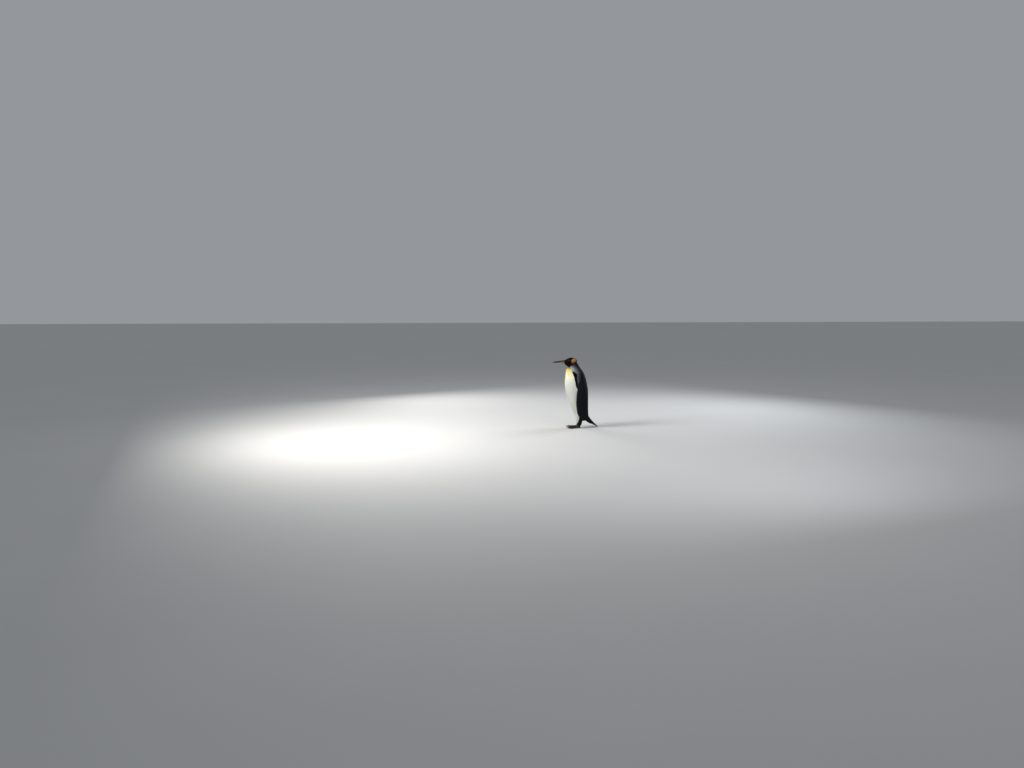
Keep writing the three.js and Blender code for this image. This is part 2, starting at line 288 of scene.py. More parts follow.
def fade(value, start, end):
    """Goes smoothly from 0 where the value is start to 1 where it is end, which may be the lower one."""
    share = np.clip((value - start) / (end - start), 0, 1)
    return share * share * (3 - 2 * share)


def shade_smooth(mesh):
    mesh.polygons.foreach_set("use_smooth", np.ones(len(mesh.polygons), bool))


def evened(obj, values, rounds):
    """Values on an object's points, each averaged with its neighbours' a number of times."""
    a, b = rows_of(obj.data.edges, "vertices", 2).T
    count = len(values)
    touching = np.bincount(a, minlength=count) + np.bincount(b, minlength=count)
    for _ in range(rounds):
        around = np.bincount(a, values[b], count) + np.bincount(b, values[a], count)
        values = 0.5 * values + 0.5 * around / np.maximum(touching, 1)
    return values


def set_group(obj, name, weights):
    """A vertex group whose weights are rounded to tenths."""
    group = obj.vertex_groups.new(name=name)
    steps = np.rint(weights * 10).astype(int)
    for step in range(1, 11):
        group.add(np.flatnonzero(steps == step).tolist(), step / 10, "REPLACE")


def rump_form():
    """A ball drawn out over the stations of the rump."""
    only()
    bpy.ops.mesh.primitive_uv_sphere_add(segments=40, ring_count=32, radius=1)
    rump = bpy.context.object
    places = points_of(rump)
    share = np.arccos(np.clip(places[:, 2], -1, 1)) / math.pi * (len(RUMP) - 1)
    ring = np.hypot(places[:, 0], places[:, 1]).clip(1e-9)
    steps = np.arange(len(RUMP))
    over, top, under, bottom, half = (np.interp(share, steps, column) for column in np.array(RUMP).T)
    side = places[:, 1] / ring
    lengthwise = (over + under) / 2 + (over - under) / 2 * side
    upright = (top + bottom) / 2 + (top - bottom) / 2 * side
    set_points(rump, np.stack([half * places[:, 0] / ring, lengthwise, upright], 1))
    with edit_mode(rump):
        bpy.ops.mesh.remove_doubles(threshold=1e-6)
        bpy.ops.mesh.normals_make_consistent(inside=False)
    return rump


casts = {node: cast_of(node, SWELL) for node in FLESH}
# The roots of the bill and claws and the eyeballs fill their sockets.
plugs = [cast_of("bill_upper"), cast_of("bill_lower")]
for plug in plugs:
    with edit_mode(plug):
        bpy.ops.mesh.bisect(**BILL_EDGE, use_fill=True, clear_outer=True)
plugs += [cast_of(f"eye_{side}") for side in SIDES]
plugs += [cast_of(f"claw_{toe}_{side}", -CLAW_FIT) for toe in TOES for side in SIDES]
plugs.append(rump_form())


def nearness(nodes, points):
    """How far each point lies from the nearest of some CAD nodes, out to where it no longer matters."""
    far = np.full(len(points), np.inf)
    for node in nodes:
        tree = bvhtree.BVHTree.FromObject(guides[node], bpy.context.evaluated_depsgraph_get())
        found = [tree.find_nearest(Vector(point), NEAR)[3] for point in points]
        far = np.minimum(far, [np.inf if gap is None else gap for gap in found])
    return far


# Plain copies of the trunk and the limbs, which tell the parts of the skin apart.
NEAR = 0.05
guides = {node: cast_of(node, SWELL) for node in FLESH[2:]}
# A point is only tried as the flippers' outside this half width and between these heights, and as a foot's
# below the ankle and ahead of the tail.
FLIPPER_INSIDE = 0.084
FLIPPER_BOTTOM, FLIPPER_TOP = 0.12, 0.57
ANKLE_HEIGHT = 0.045
TAIL_FRONT = 0.12

hide = casts["trunk"]
only(*[cast for node, cast in casts.items() if node != "trunk"], *plugs, hide)
bpy.ops.object.join()
hide.name = "skin"
finish_with(hide, "REMESH", mode="VOXEL", voxel_size=HIDE_GRAIN)

points = points_of(hide)
on_flipper = np.zeros(len(points))
x, y, z = points.T
beside = np.flatnonzero((abs(x) > FLIPPER_INSIDE) & (z > FLIPPER_BOTTOM) & (z < FLIPPER_TOP))
to_flipper = nearness(LIMBS["flipper"], points[beside])
to_trunk = nearness(["trunk"], points[beside])
on_flipper[beside[to_flipper < to_trunk]] = 1
on_foot = np.zeros(len(points))
low = np.flatnonzero(z < ANKLE_HEIGHT)
to_foot = nearness(LIMBS["foot"], points[low])
to_leg = nearness(LIMBS["leg"], points[low])
on_foot[low[(to_foot < to_leg) & (y[low] < TAIL_FRONT)]] = 1
for guide in guides.values():
    bpy.data.objects.remove(guide)

# The body is smoothed most, so that its forms run together, the head less, and the flippers and feet least.
on_head = fade(z, 0.66, 0.70)
firm = np.maximum.reduce([on_flipper, on_foot, on_head, fade(z, 0.07, 0.04)])
set_group(hide, "soft", evened(hide, 1 - firm, 6))
set_group(hide, "head", evened(hide, on_head, 4))
set_group(hide, "flipper", on_flipper)
set_group(hide, "foot", on_foot)
finish_with(hide, "SMOOTH", factor=0.6, iterations=24, vertex_group="soft")
finish_with(hide, "SMOOTH", factor=0.6, iterations=12, vertex_group="head")
finish_with(hide, "SMOOTH", factor=0.5, iterations=4)


def group_weights(obj, name):
    index = obj.vertex_groups[name].index
    return np.array([next((g.weight for g in v.groups if g.group == index), 0.0) for v in obj.data.vertices])


def unit(vectors):
    return vectors / np.maximum(np.linalg.norm(vectors, axis=-1, keepdims=True), 1e-9)


EYE_CENTRES = {side: np.array([sign * 0.0193, -0.0757, 0.7445]) for side, sign in SIDES.items()}
EYE_AXES = {side: unit(np.array([sign * 0.955, -0.28, 0.10])) for side, sign in SIDES.items()}
EYE_RADIUS = 0.0086
LID_OPEN = math.radians(38)  # half the angle of the round opening between the lids
LID_THICK = 0.0011
EYE_REGION = 0.015  # how far from an eye's centre its lids and the finer mesh reach


def subdivide_where(obj, chosen, cuts):
    """A finer mesh where the points are chosen."""
    with edit_mode(obj):
        bpy.ops.mesh.select_all(action="DESELECT")
    obj.data.vertices.foreach_set("select", chosen)
    with edit_mode(obj, select=False):
        bpy.ops.mesh.select_mode(type="VERT")
        bpy.ops.mesh.subdivide(number_cuts=cuts, smoothness=0)


# The rims of the eyes and the tops of the feet get a finer mesh, for lids and for scutes.
points = points_of(hide)
near_eye = np.zeros(len(points), bool)
for centre in EYE_CENTRES.values():
    near_eye |= (np.linalg.norm(points - centre, axis=1) < EYE_REGION) & (abs(points[:, 0]) > 0.012)
subdivide_where(hide, near_eye, 2)
subdivide_where(hide, (group_weights(hide, "foot") > 0.5) & (points_of(hide)[:, 2] > 0.004), 1)

points = points_of(hide)
normals = normals_of(hide)
x, y, z = points.T
on_flipper = group_weights(hide, "flipper")
on_foot = group_weights(hide, "foot")


BODY_DEPTH, FACE_DEPTH, FLIPPER_DEPTH = 0.0036, 0.0010, 0.0009


def coat_depth(points, on_flipper, on_foot):
    """How deep the feathers are over each place of the skin."""
    y, z = points[:, 1], points[:, 2]
    depth = BODY_DEPTH - 0.0008 * fade(z, 0.58, 0.66) - 0.0010 * fade(z, 0.67, 0.71)
    face = fade(y, -0.05, -0.10) * fade(z, 0.67, 0.69)
    depth = depth * (1 - face) + FACE_DEPTH * face
    depth -= 0.0024 * fade(z, 0.09, 0.035)
    depth = depth * (1 - on_flipper) + FLIPPER_DEPTH * on_flipper
    return depth * (1 - on_foot)


depth = evened(hide, coat_depth(points, on_flipper, on_foot), 8)
points -= normals * (depth + SWELL)[:, None]

# Soft forms of the head: brows, hollows before the eyes, full cheeks and a slim chin. Each has its middle on
# the left side, its radius and its height.
HEAD_FORMS = [
    ((0.021, -0.083, 0.7560), 0.010, 0.0010),
    ((0.020, -0.100, 0.7400), 0.011, -0.0014),
    ((0.028, -0.060, 0.7150), 0.020, 0.0016),
    ((0.012, -0.120, 0.7180), 0.012, -0.0008),
]
as_left = np.abs(points) * (1, 0, 0) + points * (0, 1, 1)
swelling = np.zeros(len(points))
for centre, radius, height in HEAD_FORMS:
    gap = np.linalg.norm(as_left - centre, axis=1)
    swelling += height * np.exp(-((gap / radius) ** 2))
# Creases where the drawn-in neck folds, each with a soft roll above it: height and depth.
NECK_FOLDS = [(0.676, 0.0018), (0.655, 0.0013), (0.634, 0.0009)]
for level, fold_depth in NECK_FOLDS:
    line = level + 0.22 * (points[:, 1] + 0.02) + 0.003 * np.sin(points[:, 0] * 60)
    above = points[:, 2] - line
    crease = np.exp(-((above / 0.0045) ** 2))
    roll = 0.5 * np.exp(-(((above - 0.011) / 0.006) ** 2))
    swelling -= fold_depth * (crease - roll) * fade(points[:, 1], -0.075, -0.03)
points += normals * swelling[:, None]


def seen_from_eye(side, points):
    """How far points lie from an eye's centre, and how far off the way the eye looks."""
    out = points - EYE_CENTRES[side]
    return np.linalg.norm(out, axis=1), np.arccos(np.clip(unit(out) @ EYE_AXES[side], -1, 1))


# Eyelids: the skin round each eyeball rises to a rounded rim, and inside the rim it passes behind the ball.
for side, centre in EYE_CENTRES.items():
    far, turn = seen_from_eye(side, points)
    close = (far < 0.019) & (turn < math.radians(80))
    rim = EYE_RADIUS + 0.0002 + LID_THICK * np.exp(-(((turn - LID_OPEN - 0.10) / 0.13) ** 2))
    rim += 0.0003 * np.cos((turn - LID_OPEN) * 40) * np.exp(-(((turn - LID_OPEN - 0.3) / 0.2) ** 2))
    rim -= 0.0022 * fade(turn, LID_OPEN, LID_OPEN - 0.10)
    hold = (1 - fade(turn, LID_OPEN + 0.22, LID_OPEN + 0.60)) * close
    wanted = np.where(turn < LID_OPEN + 0.22, rim, np.maximum(far, rim))
    radius = far + (wanted - far) * hold
    points = np.where(close[:, None], centre + unit(points - centre) * radius[:, None], points)

# Scutes: the bare skin of the feet is split into small raised plates, wider than long, with grooves between.
SCUTE = 0.0030
SCUTE_STRETCH = np.array([0.62, 1.25, 1.0])
GROOVE = 0.00050
foot_points = np.flatnonzero(on_foot > 0.5)
stretched = points[foot_points] * SCUTE_STRETCH
grid = np.random.default_rng(7)
cells = {}
for index in grid.permutation(len(foot_points)):
    key = tuple(np.floor(stretched[index] / SCUTE).astype(int))
    cells.setdefault(key, index)


def tree_of(places):
    """The places in a tree that finds the nearest ones."""
    tree = kdtree.KDTree(len(places))
    for index, place in enumerate(places.tolist()):
        tree.insert(place, index)
    tree.balance()
    return tree


middles = tree_of(stretched[list(cells.values())])
nearest = np.array([[hit[2] for hit in middles.find_n(place, 2)] for place in stretched.tolist()])
scute_edge = 1 - fade(nearest[:, 1] - nearest[:, 0], 0.0, 0.0010)
scute_groove = np.zeros(len(points))
scute_groove[foot_points] = scute_edge * fade(points[foot_points, 2], 0.001, 0.004)
points -= normals * (GROOVE * scute_groove)[:, None]


def set_on_floor(obj, points):
    """Sets an object's points, with none of them under the floor."""
    points[:, 2] = np.maximum(points[:, 2], 0.0)
    set_points(obj, points)


set_on_floor(hide, points)
shade_smooth(hide.data)

# ------------------------ markings
# The pattern of a grown bird's pigment, the same on skin and feathers: black hood, orange ear patch, yellow
# upper breast that fades to the white front, a black line along its edge, and a silver to slate back. Painted
# light
# is mixed into it: a sheen on the silver of the neck side and shoulder, and painted shade low on the white
# front, under the chin and on the lower ear patch.

# The edge of the white front, from the ankles up to the throat: height and place along the bird.
FRONT_EDGE = [
    (0.000, -0.002), (0.050, 0.010), (0.071, 0.018), (0.105, 0.030), (0.150, 0.028), (0.200, 0.026),
    (0.250, 0.022), (0.300, 0.016), (0.350, 0.013), (0.390, 0.008), (0.431, 0.000), (0.460, -0.016),
    (0.480, -0.021), (0.509, -0.025), (0.563, -0.035), (0.609, -0.051), (0.625, -0.053), (0.645, -0.058),
    (0.660, -0.069), (0.690, -0.088),
]
RIGHT_LEG_BACK = 0.016  # how far the right leg stands behind the left one
# The black line behind that edge: height and width.
BLACK_LINE = [
    (0.0, 0.002), (0.10, 0.006), (0.30, 0.010), (0.41, 0.018), (0.45, 0.027), (0.52, 0.025), (0.55, 0.027),
    (0.575, 0.036), (0.600, 0.044), (0.614, 0.030), (0.626, 0.0),
]
# Heights, and how silvery the feathers just behind the black line are, their own silver with a painted sheen
# on the neck side and shoulder, how far back that reaches, and where along the bird the dark nape begins.
SHOULDER_SILVER_AND_SHEEN = [
    (0.40, 0.012), (0.45, 0.06), (0.50, 0.17), (0.55, 0.27), (0.595, 0.23), (0.615, 0.56), (0.635, 1.0),
    (0.665, 0.95), (0.68, 0.55), (0.70, 0.35),
]
SILVER_AND_SHEEN_REACH = [(0.55, 0.028), (0.60, 0.034), (0.63, 0.054), (0.70, 0.045)]
NAPE_EDGE = [
    (0.46, 0.080), (0.55, 0.045), (0.60, 0.032), (0.64, 0.024), (0.66, 0.014), (0.70, 0.001), (0.76, -0.004),
]
LEAST_SILVER = 0.012
# Heights, and the middle line of the left flipper, and half the width of the white on both inner faces.
FLIPPER_MIDDLE = [
    (0.15, 0.017), (0.20, 0.015), (0.29, 0.016), (0.35, 0.021), (0.40, 0.029), (0.45, 0.037), (0.50, 0.041),
]
FLIPPER_PALE = [(0.155, -0.003), (0.17, 0.007), (0.19, 0.019), (0.233, 0.028), (0.29, 0.032), (0.45, 0.034)]
# The right flipper swings back: how far at its tip, from what height, and over what drop.
FLIPPER_SWING = 0.010
FLIPPER_SWING_FROM = 0.400
FLIPPER_SWING_OVER = 0.266
# Heights and the warmth of the front: white that greys towards the bottom as painted shade, cream, yellow,
# and a dark olive gold under the chin that is painted shade.
BREAST_WARMTH_AND_SHADE = [
    (0.40, 0.0), (0.46, 0.03), (0.52, 0.08), (0.555, 0.14), (0.585, 0.22), (0.605, 0.29), (0.635, 0.43),
    (0.647, 0.52), (0.660, 0.62), (0.680, 0.66),
]
EAR_PATCH = {"y": -0.0262, "z": 0.7335, "along": 0.0262, "up": 0.0272}
# The lower edge of the hood, and the line of the link from the ear patch to the breast, each as places along
# the bird and heights. Under the ear patch the hood leaves a black band that is partly its own edge and
# partly painted shadow of the neck fold.
HOOD_EDGE = [
    (-0.115, 0.660), (-0.080, 0.667), (-0.066, 0.664), (-0.052, 0.680), (-0.030, 0.692), (0.000, 0.706),
    (0.02, 0.742),
]
EAR_LINK = [(-0.038, 0.712), (-0.049, 0.694), (-0.060, 0.678), (-0.070, 0.663)]


def read_off(table, place):
    """The value that a table of pairs gives at each place."""
    return np.interp(place, *zip(*table))


def gap_to_line(y, z, line):
    """How far each place is from a broken line, seen from the side."""
    gap = np.full(len(y), np.inf)
    for (ya, za), (yb, zb) in zip(line, line[1:]):
        run = np.array([yb - ya, zb - za])
        share = np.clip(((y - ya) * run[0] + (z - za) * run[1]) / (run @ run), 0, 1)
        gap = np.minimum(gap, np.hypot(y - ya - share * run[0], z - za - share * run[1]))
    return gap


def markings(points, normals, on_flipper, soft=0.0012):
    """Black pigment, silver edging with painted sheen, and warm pigment with painted shade at each place,
    each from 0 to 1.
    """
    x, y, z = points.T
    behind = y - read_off(FRONT_EDGE, z)
    behind -= RIGHT_LEG_BACK * fade(x, 0.0, -0.015) * fade(z, 0.140, 0.105)
    black = fade(behind, -soft, soft)
    past_line = behind - read_off(BLACK_LINE, z)
    line = black * (1 - fade(past_line, -soft, 2 * soft))
    # The silver just behind the black line is partly the plumage's own and partly painted sheen, strongest on
    # the neck side and shoulder.
    sheen = (read_off(SHOULDER_SILVER_AND_SHEEN, z) - LEAST_SILVER).clip(0)
    silver = LEAST_SILVER + sheen * np.exp(-((past_line.clip(0) / read_off(SILVER_AND_SHEEN_REACH, z)) ** 2))
    nape = fade(y - read_off(NAPE_EDGE, z), -0.006, 0.012) * fade(z, 0.46, 0.56)
    silver = silver * (1 - 0.90 * nape)
    silver = silver * (1 - line)
    # Warmth of the front, carrying painted shade too: greyer low on the white and dark olive under the chin.
    warm = read_off(BREAST_WARMTH_AND_SHADE, z)
    # Flippers: slate black outside, and white inside with a black edge and tip.
    facing_in = fade(-np.sign(x) * normals[:, 0], 0.05, 0.35)
    swung_back = FLIPPER_SWING * ((FLIPPER_SWING_FROM - z) / FLIPPER_SWING_OVER).clip(0, 1) * (x < 0)
    off_middle = abs(y - read_off(FLIPPER_MIDDLE, z) - swung_back)
    middle = fade(read_off(FLIPPER_PALE, z) - off_middle, -0.001, 0.003)
    pale = facing_in * middle * on_flipper
    black = np.maximum(black, on_flipper) * (1 - pale)
    silver = silver * (1 - on_flipper) + 0.010 * on_flipper
    warm = warm * (1 - on_flipper)
    # Hood: over the head, down to a point under the throat, and up behind the ear patch.
    nape_side = fade(y, 0.004, 0.022) * (1 - fade(z, 0.750, 0.765))
    hood = fade(z - read_off(HOOD_EDGE, y), -soft, soft) * (1 - nape_side)
    black = np.maximum(black, hood)
    silver = silver * (1 - hood)
    warm = warm * (1 - hood)
    # Ear patch, and the narrow link from it to the breast.
    aside = fade(abs(x), 0.011, 0.014)
    back, above = y - EAR_PATCH["y"], z - EAR_PATCH["z"]
    out = np.hypot((back - 0.16 * above) / EAR_PATCH["along"], above / EAR_PATCH["up"])
    ear = (1 - fade(out, 0.97, 1.03)) * aside
    link = (1 - fade(gap_to_line(y, z, EAR_LINK), 0.0016, 0.0026)) * aside
    # Towards its lower rear the patch darkens, partly a deeper orange and partly painted shade where it turns
    # in under the head.
    deep_and_shaded = 0.74 + 0.26 * fade(0.25 * back - above, -0.014, 0.028)
    patch = np.maximum(ear, link)
    black = black * (1 - patch)
    silver = silver * (1 - patch)
    warm = np.where(patch > 0.02, deep_and_shaded, warm)
    return {"black": black, "silver": silver, "warm": warm}


def set_values(obj, **values):
    """Values on an object's points that its material reads by name."""
    for name, numbers in values.items():
        layer = obj.data.attributes.new(name, "FLOAT", "POINT")
        layer.data.foreach_set("value", np.ascontiguousarray(numbers, dtype=np.float32))


# Tints along the warmth scale. Its low greys are painted shade on the lower white front, the two olive stops
# are painted shade under the chin, and the darkest oranges are partly painted shade on the lower ear patch.
WARM_AND_SHADED_TINTS = [
    (0.00, (0.60, 0.615, 0.565)),
    (0.05, (0.70, 0.71, 0.64)),
    (0.13, (0.84, 0.82, 0.65)),
    (0.21, (0.87, 0.82, 0.53)),
    (0.33, (0.84, 0.75, 0.33)),
    (0.48, (0.72, 0.58, 0.15)),
    (0.60, (0.36, 0.27, 0.045)),
    (0.68, (0.25, 0.17, 0.03)),
    (0.74, (0.50, 0.230, 0.082)),
    (0.87, (0.33, 0.120, 0.033)),
    (1.00, (0.10, 0.033, 0.009)),
]
HOOD_BLACK = (0.0040, 0.0028, 0.0025)
SLATE = (0.0044, 0.0056, 0.0080)
# A pale silver for the dark feathers' tips, light enough to carry the painted sheen as well.
SILVER_AND_SHEEN_TINT = (0.50, 0.535, 0.62)


def plumage(finish, tip, tone):
    """The colour of a feather. tip is 0 at its root and 1 at its tip, and tone is each feather's own."""
    # The light feathers take the warmth scale's tints, painted shade included.
    ramp = {"stops": WARM_AND_SHADED_TINTS}
    light = finish.add("ShaderNodeValToRGB", ramp, {"Fac": finish.attribute("warm")})
    # The dark feathers' silver edging also carries the painted sheen.
    silver = finish.attribute("silver")
    slate = finish.blend(silver.within(0.0, 0.012), HOOD_BLACK, SLATE)
    edged = silver * (0.35 + 0.65 * tip)
    dark = finish.blend(edged, slate, SILVER_AND_SHEEN_TINT)
    black = finish.attribute("black")
    light = finish.shade(light, 0.92 + 0.14 * tone)
    dark = finish.shade(dark, 0.65 + 0.70 * tone)
    return finish.blend(black, light, dark)


hide_finish = Finish("skin", Specular_IOR_Level=0.3)
grain = hide_finish.noise(420, 4, 0.6)
creases = hide_finish.add("ShaderNodeTexVoronoi", {"feature": "DISTANCE_TO_EDGE"},
                          {"Vector": hide_finish.place(), "Scale": 520, "Randomness": 0.9})
is_bare = hide_finish.attribute("bare")
# Between the feathers the skin takes the plumage's colour, darkened as painted shade under the coat, more
# under black feathers than under white.
under_coat = hide_finish.shade(plumage(hide_finish, 0.2, grain), 0.90 - 0.35 * hide_finish.attribute("black"))
# The bare skin is darker in its fine creases, as painted shade, and varies in tone at random.
leather = hide_finish.blend(creases.within(0.0, 0.18), (0.008, 0.0075, 0.0075), (0.026, 0.024, 0.023))
leather = hide_finish.shade(leather, 0.75 + 0.6 * hide_finish.noise(60))
leather = hide_finish.shade(leather, hide_finish.attribute("leather_level"))
height = creases.within(0.0, 0.22) * is_bare + 0.3 * grain
hide_finish.show(
    Base_Color=hide_finish.blend(is_bare, under_coat, leather),
    Roughness=0.72 - 0.24 * is_bare + 0.12 * grain,
    Normal=hide_finish.relief(height, 0.5, 0.0006),
)
hide.data.materials.clear()
hide.data.materials.append(hide_finish.material)
at_eye = np.zeros(len(points))
for side in EYE_CENTRES:
    far, turn = seen_from_eye(side, points)
    at_eye = np.maximum(at_eye, (1 - fade(turn - LID_OPEN, 0.24, 0.34)) * (far < EYE_REGION))
# The lids are darker than the rest of the bare skin, and the grooves between scutes are darkened as painted
# shade.
leather_level = 1.15 - 0.45 * scute_groove - 0.75 * at_eye
bare = np.maximum(evened(hide, on_foot, 1), at_eye)
set_values(hide, leather_level=leather_level, bare=bare, **markings(points, normals_of(hide), on_flipper))
# Where the coat hides the skin, its mesh is thinned later. The feet and the rims of the eyes keep theirs.
to_eyes = np.minimum(*[np.linalg.norm(points - centre, axis=1) for centre in EYE_CENTRES.values()])
set_group(hide, "hidden", 1 - np.maximum(on_foot, fade(to_eyes, 0.024, 0.018)))
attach(hide, "root")
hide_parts(*FLESH, "tail")

# ------------------------ coat
# Small stiff feathers that overlap like scales, each a thin curved vane with its root in the skin. They are
# shortest on the face and ankles. They lie back from the bill, down body and flippers, and out on the rump.

SEED = 20
BILL_ROOT = (0, -0.140, 0.736)
BODY_GAP, FACE_GAP, FLIPPER_GAP = 0.00222, 0.00120, 0.0021
LENGTH_IN_GAPS = 5.0
WIDTH_IN_GAPS = 0.86
CANDIDATES_EACH = 4.0  # places drawn for each feather wanted
LEAST_GAP = 0.86  # the least distance between two roots, as a share of the gap there
LIDS_RADIUS = 0.0068
SHORTEST = 0.0016
PATCH = 0.003  # the size of each feather's own place in the unwrap
draw = np.random.default_rng(SEED)


def vane_form(rows):
    """The pattern vane: its points' places across, along and through it, and its faces.

    rows gives the rings between its ends: how far along each one lies, and how wide it is.
    """
    only()
    bpy.ops.mesh.primitive_uv_sphere_add(segments=4, ring_count=len(rows) + 1, radius=1)
    pattern = bpy.context.object
    places = points_of(pattern)
    order = np.unique(np.round(places[:, 2], 4))
    row = np.searchsorted(order, np.round(places[:, 2], 4))
    along = np.array([0.0, *[place for place, _ in rows], 1.0])[row]
    wide = np.array([0.0, *[width for _, width in rows], 0.0])[row]
    around = np.hypot(places[:, 0], places[:, 1])
    around[around < 1e-6] = 1
    across = places[:, 0] / around * wide
    through = places[:, 1] / around * wide
    faces = [list(face.vertices) for face in pattern.data.polygons]
    bpy.data.objects.remove(pattern)
    return across, along, through, faces


def lie(points):
    """The way the feathers point at each place, before it is laid along the skin."""
    y, z = points[:, 1], points[:, 2]
    from_bill = unit(points - BILL_ROOT)
    down = np.tile((0.0, 0.16, -1.0), (len(points), 1))
    down[:, 1] += 0.75 * fade(y, 0.06, 0.15) * fade(z, 0.24, 0.12)
    below = np.maximum(fade(y, -0.055, 0.005), fade(z, 0.705, 0.665))[:, None]
    return unit(from_bill * (1 - below) + unit(down) * below)


def coat_spacing(points, on_flipper):
    """The gap between roots at each place."""
    y, z = points[:, 1], points[:, 2]
    gap = BODY_GAP - 0.0003 * fade(z, 0.59, 0.66) - 0.0002 * fade(z, 0.67, 0.71)
    face = fade(y, -0.035, -0.095) * fade(z, 0.67, 0.69)
    gap = gap * (1 - face) + FACE_GAP * face
    gap -= 0.0006 * fade(z, 0.10, 0.035)
    return gap * (1 - on_flipper) + FLIPPER_GAP * on_flipper


# Places on the skin, drawn at random by area, and then thinned to an even spacing.
mesh = hide.data
mesh.calc_loop_triangles()
corners = rows_of(mesh.loop_triangles, "vertices", 3)
normals = normals_of(hide)
a, b, c = points[corners[:, 0]], points[corners[:, 1]], points[corners[:, 2]]
area = 0.5 * np.linalg.norm(np.cross(b - a, c - a), axis=1)
middle = (a + b + c) / 3
flipper_share = on_flipper[corners].mean(1)
wanted = area / coat_spacing(middle, flipper_share) ** 2
bare_share = np.maximum(on_foot, at_eye)[corners].mean(1)
wanted[bare_share > 0.5] = 0
count = int(wanted.sum() * CANDIDATES_EACH)
chosen = np.searchsorted(np.cumsum(wanted), draw.random(count) * wanted.sum()).clip(0, len(wanted) - 1)
mix = np.sort(draw.random((count, 2)), axis=1)
shares = np.stack([mix[:, 0], mix[:, 1] - mix[:, 0], 1 - mix[:, 1]], 1)
roots = (points[corners[chosen]] * shares[:, :, None]).sum(1)
root_normals = unit((normals[corners[chosen]] * shares[:, :, None]).sum(1))
root_flipper = (on_flipper[corners[chosen]] * shares).sum(1)
gaps = coat_spacing(roots, root_flipper) * LEAST_GAP

tree = tree_of(roots)
kept = np.ones(count, bool)
for index, (root, gap) in enumerate(zip(roots.tolist(), gaps.tolist())):
    if kept[index]:
        for _, other, _ in tree.find_range(root, gap):
            if other > index:
                kept[other] = False
roots, root_normals, root_flipper = roots[kept], root_normals[kept], root_flipper[kept]
skin_tree = tree_of(points)


def onto_skin(places):
    """The places moved onto the skin, and the skin's normals there."""
    nearest = np.array([skin_tree.find(place)[1] for place in places.tolist()])
    normal = normals[nearest]
    lift = ((places - points[nearest]) * normal).sum(1)
    return places - normal * lift[:, None], normal


depths = coat_depth(roots, root_flipper, np.zeros(len(roots)))
spacing = coat_spacing(roots, root_flipper)
lengths = spacing * (LENGTH_IN_GAPS - fade(roots[:, 2], 0.67, 0.70)) * draw.uniform(0.86, 1.14, len(roots))
lengths = lengths * (1 - 0.25 * root_flipper)
on_rump = fade(roots[:, 1], 0.135, 0.175) * (1 - root_flipper)
lengths = lengths * (1 + 0.9 * on_rump)
widths = spacing * WIDTH_IN_GAPS * draw.uniform(0.92, 1.08, len(roots))
# On the rims of the flippers the feathers are small and narrow.
on_rim = root_flipper * fade(abs(root_normals[:, 1]), 0.45, 0.85)
lengths = lengths * (1 - 0.35 * on_rim)
widths = widths * (1 - 0.45 * on_rim)


def laid_flat(ways, normals):
    """Ways turned to lie along the surface that has these normals."""
    return unit(ways - normals * (ways * normals).sum(1)[:, None])


flow = laid_flat(lie(roots) + draw.normal(0, 0.05, roots.shape), root_normals)
# A feather before an eye is shortened so that it doesn't cover the lids.
for centre in EYE_CENTRES.values():
    to_eye = centre - roots
    past = (to_eye * flow).sum(1)
    under = (to_eye * root_normals).sum(1)
    wide_of = np.linalg.norm(to_eye - flow * past[:, None] - root_normals * under[:, None], axis=1)
    room = past - np.sqrt(np.maximum(LIDS_RADIUS**2 - wide_of**2, 0))
    ahead = (wide_of < LIDS_RADIUS) & (past > 0) & (past < 0.03) & (np.linalg.norm(to_eye, axis=1) < 0.035)
    lengths = np.where(ahead, np.minimum(lengths, np.maximum(room, SHORTEST)), lengths)

# A feather that would run onto a bare foot is shortened.
reached = [skin_tree.find(place)[1] for place in (roots + flow * lengths[:, None]).tolist()]
lengths = np.where((on_foot[reached] > 0.5) & (roots[:, 2] < 0.06), lengths * 0.45, lengths)

half_way, half_normals = onto_skin(roots + flow * (lengths * 0.5)[:, None])
flow_half = laid_flat(half_way - roots, half_normals)
ends, end_normals = onto_skin(half_way + flow_half * (lengths * 0.5)[:, None])

tips = roots + flow * (lengths * 0.8)[:, None]
marks = markings(tips + draw.normal(0, 0.0006, tips.shape), root_normals, root_flipper, 0.0003)
tones = draw.random(len(roots))

LONG_VANE = vane_form([(0.46, 0.95), (0.88, 0.74)])
SHORT_VANE = vane_form([(0.40, 0.90), (0.84, 0.84)])


def curve(first, middle, last, share):
    """Curves through three places each, at shares of their length."""
    v = share[None, :, None]
    bend = first[:, None] * ((1 - v) * (1 - 2 * v)) + middle[:, None] * (4 * v * (1 - v))
    return bend + last[:, None] * (v * (2 * v - 1))


